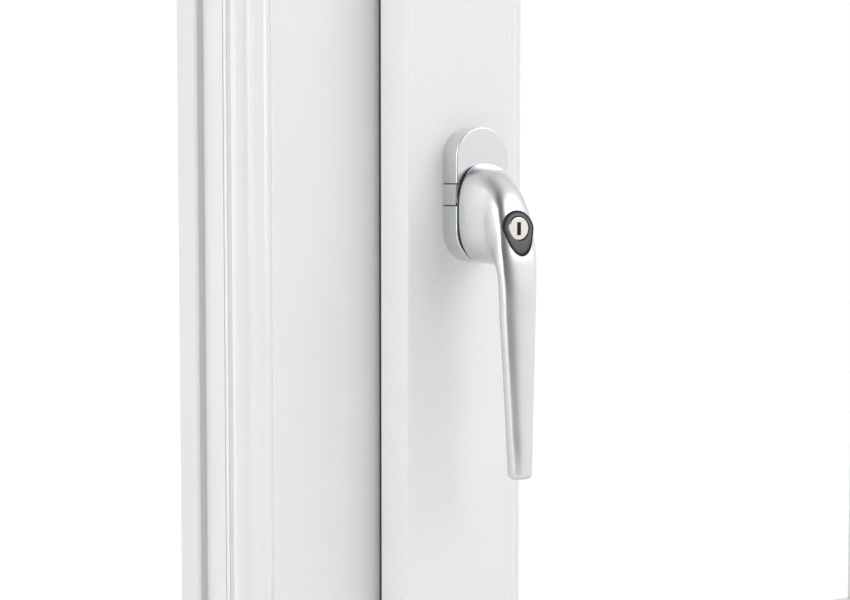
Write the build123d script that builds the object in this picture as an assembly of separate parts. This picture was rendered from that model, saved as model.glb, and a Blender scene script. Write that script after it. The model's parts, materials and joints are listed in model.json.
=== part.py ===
from build123d import *

import os
from math import copysign, cos, pi, radians, sin, tan

# A two-light window, closed. A fixed light is on the left, a mullion in the middle, and on the right an
# inward-opening sash with a key-locking handle. Millimetres. X runs to the right, Y runs from the room to
# the outside, Z runs up. The origin is the middle of the frame's underside, at half the frame's depth.

# ---- Outer frame and mullion ----
window_width = 880.0
window_height = 760.0
frame_depth = 70.0
frame_face = 54.0  # room face of the frame, from its outer edge to the rebate
leg_reach = 20.0  # how far the outside leg reaches past the rebate
leg_depth = 23.0
mullion_face = 66.0
fixed_opening = 278.0  # width between the rebates of the fixed light
arris = 0.8  # rounding of a profile's outside corners
profile_wall = 4.0
edge_chamber = 10.0
drain_length = 24.0
drain_height = 5.0
fixing_hole_radius = 3.75
fixing_setback = 150.0  # from the top and bottom of the frame to its fixings

# ---- Sash ----
lip_overlap = 8.0
hardware_gap = 12.0
lip_thickness = 26.0
lip_gap = 3.0
sash_face = 57.4
sash_depth = 72.0
sash_leg_reach = 18.0
sash_leg_depth = 25.0
groove_width = 16.4
groove_depth = 2.2
groove_axis = 13.0  # from the back of the lip to the middle of the hardware groove
rod_groove_width = 12.8
rod_groove_depth = 2.8
chamber_web = 3.3  # between the groove and the chamber behind it

# ---- Glazing ----
pane_thickness = 4.0
cavity = 20.0
edge_gap = 5.0
spacer_width = 7.0
seal_width = 5.0
bead_width = 15.7
bead_depth = 13.0
gasket_thickness = 3.0
gasket_width = 4.0
block_length = 60.0
block_setback = 45.0

# ---- Reinforcement ----
steel_wall = 1.5
steel_fit = 0.3  # play between a bar and its chamber
steel_setback = 66.0  # from the end of a member to the end of its bar

# ---- Handle ----
backset = 15.5  # from the hardware face of the sash to the spindle's axis
rose_width = 30.0
rose_height = 66.0
rose_depth = 13.0
cover_wall = 1.8
cover_fit = 0.2
band_height = 10.0
split_gap = 0.6
collar_inset = 0.4  # the collar is this much narrower than half the rose
collar_rise = 0.2  # the collar ends this far behind the lever
collar_gap = 0.5
lever_gap = 0.4
spindle_side = 7.0
spindle_fit = 0.05
screw_spacing = 43.0
screw_radius = 2.5
screw_head_radius = 4.5
screw_head_height = 3.0
lever_length = 135.5  # from the spindle's axis to the lever's free end
lever_front = 48.0  # from the sash face to the front of the grip
grip_thickness = 10.1
boss_top = 15.0
lock_drop = 16.0
plug_radius = 5.5
plug_fit = 0.06
housing_radius = 7.9
housing_point = 12.4  # from the lock's axis down to the point of the surround
surround_tilt = 10.8  # the lever's face leans back by this angle at the lock
surround_front = 44.7  # from the sash face to the surround's front, on the lock's axis
plug_front = 45.0
key_slot_width = 2.2
key_slot_height = 6.2
pin_radius = 2.0
pin_drop = 17.0
pin_travel = 2.4

# ---- Drive gear ----
gear_teeth = 12
gear_width = 7.6
tooth_share = 0.36  # tooth thickness over pitch, which leaves backlash
hub_radius = 6.2
running_fit = 0.05
case_thickness = 12.0
case_half_height = 29.0
case_reach = 5.0  # from the pitch line to the far side of the case
pocket_play = 2.4
rod_thickness = 2.2
rod_width = 12.0
rod_end_setback = 34.0  # from the end of the faceplate to the end of the rod
rack_root = 1.2  # from the rod to the pitch line
rod_play = 0.3
rod_stroke = 15.4
faceplate_width = 16.0
faceplate_setback = 50.0  # from the end of the sash to the end of the faceplate
end_screw_setback = 8.0
inner_screw_step = 110.0
cam_setback = 134.0  # from the end of the sash to a locking cam
cam_projection = 9.0
cam_radius = 4.6
cam_stem_radius = 3.0
keep_length = 62.0
keep_width = 22.0
keep_plate = 1.0
keep_lip = 1.6
small_screw_radius = 2.0
small_head_radius = 3.6

# ---- Hinges ----
hinge_offset = 6.0  # from the lip's edge to the hinge axis
knuckle_radius = 5.7
knuckle_length = 44.0
hinge_pin_radius = 3.0
bush_wall = 1.2
leaf_thickness = 3.0
leaf_width = 34.0
hinge_setback = 124.0  # from the end of the sash to the middle of a hinge
cap_height = 4.0
hinge_gap = 0.3

# ---- Planes and lines that follow from the sizes ----
room_y = -frame_depth / 2
outside_y = frame_depth / 2
leg_y = outside_y - leg_depth
middle_z = window_height / 2
left_rebate_x = frame_face - window_width / 2
mullion_left_x = left_rebate_x + fixed_opening
mullion_right_x = mullion_left_x + mullion_face
right_rebate_x = window_width / 2 - frame_face
opening_height = window_height - 2 * frame_face
fixed_middle_x = (left_rebate_x + mullion_left_x) / 2
sash_opening = right_rebate_x - mullion_right_x
sash_middle_x = (mullion_right_x + right_rebate_x) / 2
sash_width = sash_opening + 2 * lip_overlap
sash_height = opening_height + 2 * lip_overlap
sash_left_x = sash_middle_x - sash_width / 2
sash_right_x = sash_middle_x + sash_width / 2
lip_back_y = room_y - lip_gap
sash_y = lip_back_y - lip_thickness
sash_outside_y = sash_y + sash_depth
sash_leg_y = sash_outside_y - sash_leg_depth
body_inset = lip_overlap + hardware_gap
hardware_x = sash_left_x + body_inset
groove_y = lip_back_y + groove_axis
handle_x = hardware_x + backset
handle_z = middle_z
unit_thickness = 2 * pane_thickness + cavity
pitch_radius = backset - groove_depth - rod_play - rod_thickness - rack_root
gear_module = 2 * pitch_radius / gear_teeth
collar_radius = rose_width / 2 - collar_inset
boss_bottom = rose_height / 2
faceplate_half_length = sash_height / 2 - faceplate_setback
rod_half_length = faceplate_half_length - rod_end_setback
cam_spacing = sash_height - 2 * cam_setback
hinge_spacing = sash_height - 2 * hinge_setback
fixing_spacing = window_height - 2 * fixing_setback
hinge_x = sash_right_x + hinge_offset
hinge_y = sash_y + 8.0
NODES = {}


def keep_node(name, *pieces):
    NODES[name] = [solid for piece in pieces for solid in piece.solids()]


def box(x0, x1, y0, y1, z0, z1):
    return Pos((x0 + x1) / 2, (y0 + y1) / 2, (z0 + z1) / 2) * Box(x1 - x0, y1 - y0, z1 - z0)


def rod_along(axis, radius, start, end, x=0.0, y=0.0, z=0.0):
    """A round bar along X, Y or Z from start to end; the two other coordinates place it."""
    middle = (start + end) / 2
    bar = Cylinder(radius, end - start)
    if axis == "x":
        return Pos(middle, y, z) * Rot(0, 90, 0) * bar
    if axis == "y":
        return Pos(x, middle, z) * Rot(90, 0, 0) * bar
    return Pos(x, y, middle) * bar


def outline(points, rounds=None):
    """A face from corner points; rounds maps a corner's number to its radius."""
    face = make_face(Polyline(*points, close=True))
    for number, radius in (rounds or {}).items():
        corner = face.vertices().sort_by_distance((*points[number], 0))[0]
        face = fillet(corner, radius)
    return face


def rectangle(u0, u1, y0, y1):
    return Pos((u0 + u1) / 2, (y0 + y1) / 2) * Rectangle(u1 - u0, y1 - y0)


def four_sides(width, height):
    """Length, distance across and turn of a ring's left, right, top and bottom bars."""
    return ((height, width, 0), (height, width, 180), (width, height, 90), (width, height, -90))


def mitred(section, width, height, x, trim=0.0):
    """The four bars of a mitred ring. The section's x runs inward from the ring's edge."""
    extent = section.bounding_box()
    near, far = extent.min.X, extent.max.X
    bars = []
    for length, across, turn in four_sides(width, height):
        half = length / 2 - trim
        ends = [(near, near - half), (near, half - near), (far, half - far), (far, far - half)]
        wedge = extrude(Plane.XZ * make_face(Polyline(*ends, close=True)), 2 * frame_depth, both=True)
        bar = Pos(-across / 2, 0, 0) * (extrude(section, length, both=True) & wedge)
        bars.append(Pos(x, 0, middle_z) * Rot(0, turn, 0) * bar)
    return bars


def ring(section, width, height, x):
    bars = mitred(section, width, height, x)
    return bars[0] + bars[1] + bars[2] + bars[3]


# ---- Outer frame ----
chamber_u = 2 * profile_wall + edge_chamber
steel_chamber_depth = 26.0
FRAME_CHAMBER = (chamber_u, frame_face - profile_wall, room_y + profile_wall,
                 room_y + profile_wall + steel_chamber_depth)


def frame_section():
    reach = frame_face + leg_reach
    face = outline([(0, room_y), (frame_face, room_y), (frame_face, leg_y), (reach, leg_y),
                    (reach, outside_y), (0, outside_y)], {0: arris, 1: arris, 3: arris, 4: arris, 5: arris})
    face -= rectangle(profile_wall, profile_wall + edge_chamber, room_y + profile_wall, outside_y - profile_wall)
    face -= rectangle(*FRAME_CHAMBER)
    face -= rectangle(chamber_u, reach - profile_wall, leg_y + profile_wall, outside_y - profile_wall)
    return face


fixing_hole_y = (FRAME_CHAMBER[2] + FRAME_CHAMBER[3]) / 2
drain_xs = [fixed_middle_x - 0.32 * fixed_opening, fixed_middle_x + 0.32 * fixed_opening,
            sash_middle_x - 0.3 * sash_opening, sash_middle_x + 0.3 * sash_opening]
drain_z = profile_wall + edge_chamber + profile_wall + drain_height


def outer_frame():
    frame = ring(frame_section(), window_width, window_height, 0)
    edge = window_width / 2
    for side in (-1, 1):
        for step in (-0.5, 0.5):
            ends = sorted((side * (edge + 5), side * (edge - frame_face - 5)))
            hole_z = middle_z + step * fixing_spacing
            frame -= rod_along("x", fixing_hole_radius, *ends, y=fixing_hole_y, z=hole_z)
    for x in drain_xs:
        frame -= box(x - drain_length / 2, x + drain_length / 2, outside_y - profile_wall - 1, outside_y + 1,
                     drain_z - drain_height / 2, drain_z + drain_height / 2)
    return frame


def channel(width, depth, length):
    """A steel channel along Z, open towards +X, its middle at the origin."""
    inner = Pos(steel_wall, 0, 0) * Box(width, depth - 2 * steel_wall, length + 1)
    return Box(width, depth, length) - inner


def ring_steel(chamber, width, height, x, setback):
    """Four channels in the chamber of a mitred ring, clear of its corners."""
    u0, u1, y0, y1 = chamber
    across, deep = u1 - u0 - 2 * steel_fit, y1 - y0 - 2 * steel_fit
    bars = []
    for length, side, turn in four_sides(width, height):
        bar = Pos(-side / 2 + (u0 + u1) / 2, (y0 + y1) / 2, 0) * channel(across, deep, length - 2 * setback)
        bars.append(Pos(x, 0, middle_z) * Rot(0, turn, 0) * bar)
    return bars


def frame_steel():
    bars = ring_steel(FRAME_CHAMBER, window_width, window_height, 0, steel_setback)
    for side in (-1, 1):
        for step in (-0.5, 0.5):
            ends = sorted((side * (window_width / 2), side * (window_width / 2 - frame_face)))
            hole_z = middle_z + step * fixing_spacing
            hole = rod_along("x", fixing_hole_radius + 1, *ends, y=fixing_hole_y, z=hole_z)
            bars = [bar - hole for bar in bars]
    return bars


mullion_x = (mullion_left_x + mullion_right_x) / 2
mullion_chamber_width = mullion_face - 22


def mullion():
    half = mullion_face / 2
    reach = half + leg_reach
    face = outline([(-half, room_y), (half, room_y), (half, leg_y), (reach, leg_y), (reach, outside_y),
                    (-reach, outside_y), (-reach, leg_y), (-half, leg_y)],
                   {0: arris, 1: arris, 3: arris, 4: arris, 5: arris, 6: arris})
    face -= rectangle(-mullion_chamber_width / 2, mullion_chamber_width / 2, FRAME_CHAMBER[2], FRAME_CHAMBER[3])
    face -= rectangle(-half, half, leg_y + profile_wall, outside_y - profile_wall)
    bar = extrude(face, opening_height / 2, both=True)
    for end in (-1, 1):
        cope = sorted((end * (opening_height / 2 - leg_reach), end * (opening_height / 2 + 1)))
        bar -= box(-reach - 1, reach + 1, leg_y, outside_y + 1, *cope)
    return Pos(mullion_x, 0, middle_z) * bar


def mullion_steel():
    across = mullion_chamber_width - 2 * steel_fit
    deep = steel_chamber_depth - 2 * steel_fit
    bar = channel(across, deep, opening_height - 2 * edge_gap)
    return Pos(mullion_x, (FRAME_CHAMBER[2] + FRAME_CHAMBER[3]) / 2, middle_z) * bar


def drain_caps():
    caps = []
    for x in drain_xs:
        cap = Pos(x, outside_y + 1.5, drain_z) * Box(drain_length + 8, 3.0, drain_height + 7)
        cap = chamfer(cap.faces().sort_by(Axis.Y)[-1].edges(), 1.2)
        cap -= box(x - drain_length / 2, x + drain_length / 2, outside_y - 1, outside_y + 1.8,
                   drain_z - drain_height - 4, drain_z + drain_height / 2)
        caps.append(cap)
    return caps


# ---- Sash ----
SASH_CHAMBER = (body_inset + groove_depth + rod_groove_depth + 3, sash_face - profile_wall,
                groove_y + groove_width / 2 + chamber_web, sash_outside_y - profile_wall + 0.5)


def sash_section():
    reach = sash_face + sash_leg_reach
    half_plate, half_rod = groove_width / 2, rod_groove_width / 2
    floor_u, rod_u = body_inset + groove_depth, body_inset + groove_depth + rod_groove_depth
    face = outline([(0, sash_y), (sash_face, sash_y), (sash_face, sash_leg_y), (reach, sash_leg_y),
                    (reach, sash_outside_y), (body_inset, sash_outside_y), (body_inset, groove_y + half_plate),
                    (floor_u, groove_y + half_plate), (floor_u, groove_y + half_rod),
                    (rod_u, groove_y + half_rod), (rod_u, groove_y - half_rod), (floor_u, groove_y - half_rod),
                    (floor_u, groove_y - half_plate), (body_inset, groove_y - half_plate),
                    (body_inset, lip_back_y), (0, lip_back_y)],
                   {0: 1.6, 1: arris, 3: arris, 4: arris, 5: arris, 15: arris})
    chamber_u = SASH_CHAMBER[0]
    face -= rectangle(profile_wall, sash_face - profile_wall, sash_y + profile_wall, lip_back_y - profile_wall)
    face -= rectangle(chamber_u, sash_face - profile_wall, lip_back_y + 1, groove_y + half_plate)
    face -= rectangle(*SASH_CHAMBER)
    face -= rectangle(sash_face, reach - profile_wall, sash_leg_y + profile_wall, sash_outside_y - profile_wall)
    return face


def sash_profile():
    sash = ring(sash_section(), sash_width, sash_height, sash_middle_x)
    pocket_half = case_half_height + 1
    pocket_y = case_thickness / 2 + 0.3
    pocket_end = handle_x + pitch_radius + case_reach + pocket_play
    sash -= box(hardware_x + groove_depth, pocket_end, groove_y - pocket_y, groove_y + pocket_y,
                handle_z - pocket_half, handle_z + pocket_half)
    sash -= rod_along("y", spindle_side, sash_y - 1, groove_y, x=handle_x, z=handle_z)
    for step in (-0.5, 0.5):
        screw_z = handle_z + step * screw_spacing
        sash -= rod_along("y", screw_radius + 1, sash_y - 1, groove_y, x=handle_x, z=screw_z)
    return sash


# ---- Glazing ----
def bead_section(face_y):
    """A sculptured bead: a quirk, a sloping band, a cove and a rounded nose, then the glass side."""
    start, quirk, band = (0, 1.2), (2.2, 1.5), (3.2, 2.7)
    cove_top, cove_low, nose = (7.9, 3.9), (12.6, 8.3), (bead_width, 10.6)
    lines = [
        Line(start, quirk),
        Line(quirk, band),
        Line(band, cove_top),
        ThreePointArc(cove_top, (9.35, 7.0), cove_low),
        Line(cove_low, (13.3, 8.45)),
        ThreePointArc((13.3, 8.45), (15.05, 9.15), nose),
        Polyline(nose, (bead_width, bead_depth), (edge_gap - 1, bead_depth), (edge_gap - 1, bead_depth + 2.5),
                 (0, bead_depth + 2.5), start),
    ]
    return Pos(0, face_y) * make_face(lines)


def glazing(prefix, width, height, x, face_y, stop_y, stop_reach):
    """Panes, spacer, seal, blocks, beads and gaskets of one light; width and height are of its rebate."""
    inner_y = face_y + bead_depth + gasket_thickness
    glass_width, glass_height = width - 2 * edge_gap, height - 2 * edge_gap
    left, low = x - glass_width / 2, middle_z - glass_height / 2
    inner = box(left, left + glass_width, inner_y, inner_y + pane_thickness, low, low + glass_height)
    outer_y = inner_y + pane_thickness + cavity
    outer = box(left, left + glass_width, outer_y, outer_y + pane_thickness, low, low + glass_height)
    keep_node(prefix + "_inner_pane", inner)
    keep_node(prefix + "_outer_pane", outer)
    cavity_y = (inner_y + pane_thickness, outer_y)
    seal = rectangle(0, seal_width, *cavity_y)
    spacer = rectangle(seal_width, seal_width + spacer_width, *cavity_y)
    keep_node(prefix + "_edge_seal", ring(seal, glass_width, glass_height, x))
    keep_node(prefix + "_spacer_bar", ring(spacer, glass_width, glass_height, x))
    blocks = []
    for side in (-1, 1):
        block_x = x + side * (glass_width / 2 - block_setback - block_length / 2)
        for z in (low - edge_gap / 2, low + glass_height + edge_gap / 2):
            block = Box(block_length, unit_thickness, edge_gap)
            blocks.append(Pos(block_x, inner_y + unit_thickness / 2, z) * block)
        for z in (low + block_setback, low + glass_height - block_setback - block_length):
            side_x = x + side * (glass_width + edge_gap) / 2
            block = Box(edge_gap, unit_thickness, block_length)
            blocks.append(Pos(side_x, inner_y + unit_thickness / 2, z + block_length / 2) * block)
    keep_node(prefix + "_glazing_blocks", *blocks)
    names = ("left", "right", "top", "bottom")
    for name, bead in zip(names, mitred(bead_section(face_y), width, height, x)):
        keep_node(prefix + "_bead_" + name, bead)
    lip = outline([(bead_width - gasket_width, face_y + bead_depth), (bead_width, face_y + bead_depth),
                   (bead_width + 0.8, inner_y - 0.6), (bead_width + 0.8, inner_y),
                   (bead_width - gasket_width, inner_y)])
    keep_node(prefix + "_bead_gasket", ring(lip, width, height, x))
    stop = rectangle(stop_reach - gasket_width, stop_reach, outer_y + pane_thickness, stop_y)
    keep_node(prefix + "_outer_gasket", ring(stop, width, height, x))


def rebate_gasket():
    """The frame's outside seal, which the sash closes against."""
    reach = leg_reach - 1.5
    seal = outline([(reach - 5, leg_y), (reach - 5, sash_outside_y + 1.6), (reach - 4, sash_outside_y + 0.3),
                    (reach - 2, sash_outside_y + 0.3), (reach, leg_y)])
    return ring(seal, sash_opening, opening_height, sash_middle_x)


def overlap_gasket():
    """The black seal behind the sash lip, seen as a line between sash and frame."""
    seal = outline([(0.5, lip_back_y), (5.5, lip_back_y), (4.5, room_y - 0.3), (1.2, room_y - 0.3)])
    return ring(seal, sash_width, sash_height, sash_middle_x)


# ---- Drive gear in the hardware groove ----
plate_x = hardware_x + groove_depth
rod_x = plate_x + rod_play
rack_x = handle_x - pitch_radius
addendum = 0.7 * gear_module
dedendum = 1.1 * gear_module
pitch = pi * gear_module
flank = tan(radians(22))


def tooth(direction_out):
    """One straight-flanked tooth in the XZ plane; the pitch line is z = 0 and the tip is towards +z."""
    half = tooth_share * pitch / 2
    tip, root = half - addendum * flank, half + dedendum * flank
    points = [(-root, -dedendum * direction_out), (root, -dedendum * direction_out),
              (tip, addendum * direction_out), (-tip, addendum * direction_out)]
    return Plane.XZ * make_face(Polyline(*points, close=True))


def pinion():
    root_radius = pitch_radius - dedendum + 0.4
    gear = rod_along("y", root_radius, -gear_width / 2, gear_width / 2)
    blank = extrude(Pos(0, 0, pitch_radius) * tooth(1), gear_width / 2, both=True)
    for count in range(gear_teeth):
        gear += Rot(0, 360 * count / gear_teeth, 0) * blank
    gear += rod_along("y", hub_radius, -case_thickness / 2, case_thickness / 2)
    hole = spindle_side + 2 * spindle_fit
    half_tooth_turn = 360 / gear_teeth / 2
    gear = Rot(0, half_tooth_turn, 0) * gear - Box(hole, 2 * case_thickness, hole)
    return Pos(handle_x, groove_y, handle_z) * gear


foot_z = case_half_height - 4
foot_size = 4.0


def drive_rod():
    """A flat bar with rack teeth facing the pinion and slots round the gear case's feet."""
    end_x = rod_x + rod_thickness
    rod = box(rod_x, end_x, groove_y - rod_width / 2, groove_y + rod_width / 2,
              handle_z - rod_half_length, handle_z + rod_half_length - rod_stroke)
    tooth_face = extrude(tooth(1), gear_width / 2, both=True)
    for count in range(-2, 6):
        blank = Pos(rack_x, groove_y, handle_z + count * pitch) * Rot(0, 90, 0) * tooth_face
        rod += blank
    rod -= box(rod_x - 3, rod_x, groove_y - 9, groove_y + 9, handle_z - 60, handle_z + 60)
    for z in plate_screw_zs[1:3]:
        slot = small_screw_radius + 0.5
        rod -= box(rod_x - 1, end_x + 1, groove_y - slot, groove_y + slot, z - slot, z + slot + rod_stroke)
    for side in (-1, 1):
        low = handle_z + side * foot_z - foot_size / 2 - 0.5
        rod -= box(rod_x - 1, rack_x + 3, groove_y - foot_size / 2 - 0.4, groove_y + foot_size / 2 + 0.4,
                   low, low + foot_size + 1 + rod_stroke)
    return rod


def case_half(front):
    """One half of the gear case; the halves meet on the pinion's middle plane."""
    depth = case_thickness / 2
    back_x = rack_x + dedendum + 0.6
    far_x = handle_x + pitch_radius + case_reach
    near, far = (-depth, 0) if front else (0, depth)
    half = box(back_x - handle_x, far_x - handle_x, near, far, -case_half_height, case_half_height)
    cavity_radius = pitch_radius + addendum + 0.5
    half -= rod_along("y", cavity_radius, -gear_width / 2 - 0.2, gear_width / 2 + 0.2)
    half -= rod_along("y", hub_radius + running_fit, -depth - 1, depth + 1)
    foot_ends = (plate_x - handle_x, back_x - handle_x + 1)
    for side in (-1, 1):
        foot_low = side * foot_z - foot_size / 2
        foot_y = (near, near + foot_size / 2) if not front else (far - foot_size / 2, far)
        half += box(*foot_ends, *foot_y, foot_low, foot_low + foot_size)
        half -= rod_along("y", screw_radius, -depth - 1, depth + 1, z=side * screw_spacing / 2)
    return Pos(handle_x, groove_y, handle_z) * half


cam_zs = [handle_z - cam_spacing / 2, handle_z + cam_spacing / 2]
end_screw_step = faceplate_half_length - end_screw_setback
plate_screw_steps = (-end_screw_step, -inner_screw_step, inner_screw_step, end_screw_step)
plate_screw_zs = [handle_z + step for step in plate_screw_steps]


def faceplate():
    plate = box(hardware_x, plate_x, groove_y - faceplate_width / 2, groove_y + faceplate_width / 2,
                handle_z - faceplate_half_length, handle_z + faceplate_half_length)
    for z in cam_zs:
        slot = cam_stem_radius + 0.6
        plate -= box(hardware_x - 1, plate_x + 1, groove_y - slot, groove_y + slot,
                     z - rod_stroke - slot, z + slot)
    for z in plate_screw_zs:
        plate -= rod_along("x", small_screw_radius + 0.2, hardware_x - 1, plate_x + 1, y=groove_y, z=z)
        plate -= rod_along("x", small_head_radius + 0.2, hardware_x - 1, hardware_x + 1.2, y=groove_y, z=z)
    return plate


def plate_screws():
    """Countersunk screws; the two beside the gear sit in slots of the rod."""
    screws = []
    for z in plate_screw_zs:
        head = rod_along("x", small_head_radius, hardware_x, hardware_x + 1.2, y=groove_y, z=z)
        screws.append(head + rod_along("x", small_screw_radius, hardware_x, hardware_x + 12, y=groove_y, z=z))
    return screws


def cams():
    pieces = []
    tip = hardware_x - cam_projection
    for z in cam_zs:
        cam = rod_along("x", cam_radius, tip + 1.2, hardware_x - 0.5, y=groove_y, z=z)
        cam += rod_along("x", cam_radius + 0.9, tip, tip + 1.2, y=groove_y, z=z)
        cam += rod_along("x", cam_stem_radius, tip, rod_x, y=groove_y, z=z)
        pieces.append(cam)
    return pieces


def keeps():
    pieces, screws = [], []
    floor = mullion_right_x
    for z in cam_zs:
        low, high = z - keep_length / 2 - 8, z + keep_length / 2 - 8
        keep = box(floor, floor + keep_plate, groove_y - keep_width / 2, groove_y + keep_width / 2, low, high)
        keep += box(floor, floor + keep_lip, groove_y - keep_width / 2, groove_y - keep_width / 2 + 3, low, high)
        for end in (low + 6, high - 6):
            keep -= rod_along("x", small_screw_radius + 0.2, floor - 1, floor + 3, y=groove_y, z=end)
            head = rod_along("x", small_head_radius, floor + keep_plate, floor + keep_lip, y=groove_y, z=end)
            shank = rod_along("x", small_screw_radius, floor - 10, floor + keep_plate, y=groove_y, z=end)
            screws.append(head + shank)
        pieces.append(keep)
    return pieces, screws


def keep_screw_holes(shape):
    """Cuts the mullion for the keep screws."""
    for z in cam_zs:
        for end in (z - keep_length / 2 - 2, z + keep_length / 2 - 14):
            start = mullion_right_x - 10
            shape -= rod_along("x", small_screw_radius, start, mullion_right_x + 1, y=groove_y, z=end)
    return shape


# ---- Handle: rose ----
def stadium(width, height):
    return Plane.XZ * SlotCenterToCenter(height - width, width, rotation=90)


def slab(profile, near, far):
    """A prism between two distances out from the sash face, placed on the spindle's axis."""
    solid = extrude(profile, far - near)
    return Pos(handle_x, sash_y - near, handle_z) * solid


def outward_rod(radius, near, far, x=0.0, z=0.0):
    return rod_along("y", radius, sash_y - far, sash_y - near, x=handle_x + x, z=handle_z + z)


cover_inner_width = rose_width - 2 * cover_wall
cover_inner_height = rose_height - 2 * cover_wall
collar_end = rose_depth - collar_rise
cover_front = 2.0
core_depth = rose_depth - cover_front - cover_fit
collar_start = core_depth - 1


def rose_base():
    core = slab(stadium(cover_inner_width - 2 * cover_fit, cover_inner_height - 2 * cover_fit), 0, core_depth)
    half_band = band_height / 2
    band = slab(stadium(rose_width, rose_height), 0, rose_depth - 0.9)
    band &= box(handle_x - 20, handle_x + 20, sash_y - 20, sash_y, handle_z - half_band, handle_z + half_band)
    base = core + band + outward_rod(collar_radius, collar_start, collar_end)
    base -= outward_rod(spindle_side, -1, rose_depth + 1)
    base -= outward_rod(10.2, 3, 8)
    for step in (-0.5, 0.5):
        base -= outward_rod(screw_radius + 0.3, -1, rose_depth, z=step * screw_spacing)
        base -= outward_rod(screw_head_radius + 0.3, core_depth - screw_head_height - 0.2, rose_depth,
                            z=step * screw_spacing)
    return base


def rose_cover(side):
    """A hollow cap over one fixing screw, cut round for the collar. The lower one has the lock pin's track."""
    cap = slab(stadium(rose_width, rose_height), 0, rose_depth)
    rim = cap.edges().filter_by(Plane.XZ).group_by(Axis.Y)[0]
    cap = fillet(rim, 0.7)
    cap -= slab(stadium(cover_inner_width, cover_inner_height), -1, rose_depth - cover_front)
    low = band_height / 2 + split_gap
    span = sorted((side * low, side * rose_height))
    cap &= box(handle_x - 20, handle_x + 20, sash_y - 20, sash_y + 1, handle_z + span[0], handle_z + span[1])
    cap -= outward_rod(collar_radius + collar_gap, collar_start - cover_fit, rose_depth + 1)
    if side < 0:
        track = outward_rod(pin_drop + pin_radius + 0.3, rose_depth - cover_front - 1, rose_depth + 1)
        reach = box(handle_x - pin_radius - 0.3, handle_x + 30, sash_y - 20, sash_y, handle_z - 30, handle_z)
        cap -= track & reach
    return cap


def spindle():
    half = spindle_side / 2
    start = sash_y - 30
    end = groove_y + case_thickness / 2 - 1
    bar = box(handle_x - half, handle_x + half, start, end, handle_z - half, handle_z + half)
    return chamfer(bar.edges().filter_by(Axis.Y), 0.5)


def handle_screws():
    screws = []
    for step in (-0.5, 0.5):
        z = step * screw_spacing
        head = outward_rod(screw_head_radius, core_depth - screw_head_height, core_depth, z=z)
        cross = Pos(handle_x, sash_y - core_depth, handle_z + z) * (Box(5, 3, 1) + Box(1, 3, 5))
        shank = rod_along("y", screw_radius - 0.05, sash_y - core_depth + screw_head_height, groove_y + 4,
                          x=handle_x, z=handle_z + z)
        screws.append(head - cross + shank)
    return screws


def detent_ring():
    """A disc on the spindle with four notches, one for each quarter turn."""
    disc = outward_rod(9.4, 3.3, 6.3)
    hole = spindle_side + 2 * spindle_fit
    disc -= Pos(handle_x, sash_y - 5, handle_z) * Box(hole, 8, hole)
    for quarter in range(4):
        angle = quarter * pi / 2
        disc -= outward_rod(1.6, 3, 7, x=9.9 * cos(angle), z=9.9 * sin(angle))
    return disc


def wave_washer():
    return outward_rod(9.2, 6.6, 7.6) - outward_rod(5.6, 6, 8)


# ---- Handle: lever ----
neck_radius = 3.0  # inside rounding where the underside of the boss meets the grip
neck_fall = 1.2  # the underside falls this much on its way out
neck_out = lever_front - grip_thickness - neck_radius
neck_down = boss_bottom + neck_fall + neck_radius


def loop(plane, near, far, half_width, squareness):
    """A closed rounded outline in a plane; near and far are along its local y, squareness 2 is an ellipse."""
    points = []
    middle, half = (near + far) / 2, (far - near) / 2
    for count in range(28):
        angle = 2 * pi * count / 28
        across, along = cos(angle), sin(angle)
        points.append((half_width * copysign(abs(across) ** (2 / squareness), across),
                       middle + half * copysign(abs(along) ** (2 / squareness), along)))
    return plane * make_face(Spline(*points, periodic=True))


# Straight out from the rose: distance from the sash face, height above the axis, half width.
BOSS_SECTIONS = ((rose_depth + lever_gap, boss_top, rose_width / 2), (18, 14.4, 14.8), (23, 13.0, 14.0),
                 (28, 10.4, 12.7), (32, 7.2, 11.6))
# Round the corner: angle, distance from the neck's centre to the outside, half width, squareness.
NECK_SECTIONS = ((4, 38.6, 11.1, 2.7), (10, 33.8, 10.8, 2.9), (17, 28.2, 10.5, 3.1), (25, 23.0, 10.2, 3.3),
                 (42, 16.7, 9.7, 3.7), (63, 13.6, 9.3, 4.2))
# Down the grip: distance above the free end, half width, back, front.
GRIP_SECTIONS = ((51.5, 6.9, 39.6, 49.2), (4.5, 4.9, 41.3, 50.6), (1.2, 4.7, 41.7, 50.3), (0, 3.9, 42.6, 49.4))
grip_squareness = 4.6


def lever_blank():
    """The lever's body: straight out from the rose, round the corner and down to the free end."""
    faces = []
    foot = rose_depth + lever_gap
    for out, top, half_width in BOSS_SECTIONS:
        plane = Plane(origin=(0, -out, 0), x_dir=(1, 0, 0), z_dir=(0, -1, 0))
        fall = neck_fall * (out - foot) / (neck_out - foot)
        faces.append(loop(plane, -boss_bottom - fall, top, half_width, 2.5))
    for angle, reach, half_width, squareness in NECK_SECTIONS:
        turn = radians(angle)
        plane = Plane(origin=(0, -neck_out, -neck_down), x_dir=(1, 0, 0), z_dir=(0, -cos(turn), -sin(turn)))
        faces.append(loop(plane, neck_radius, reach, half_width, squareness))
    back = lever_front - grip_thickness
    for above, half_width, near, far in ((lever_length - neck_down, 9.0, back, lever_front), *GRIP_SECTIONS):
        plane = Plane(origin=(0, 0, above - lever_length), x_dir=(1, 0, 0), z_dir=(0, 0, -1))
        faces.append(loop(plane, near, far, half_width, grip_squareness))
    body = loft(faces[:2], ruled=True)
    for pair in zip(faces[1:], faces[2:]):
        body += loft(pair, ruled=True)
    return body


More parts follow.
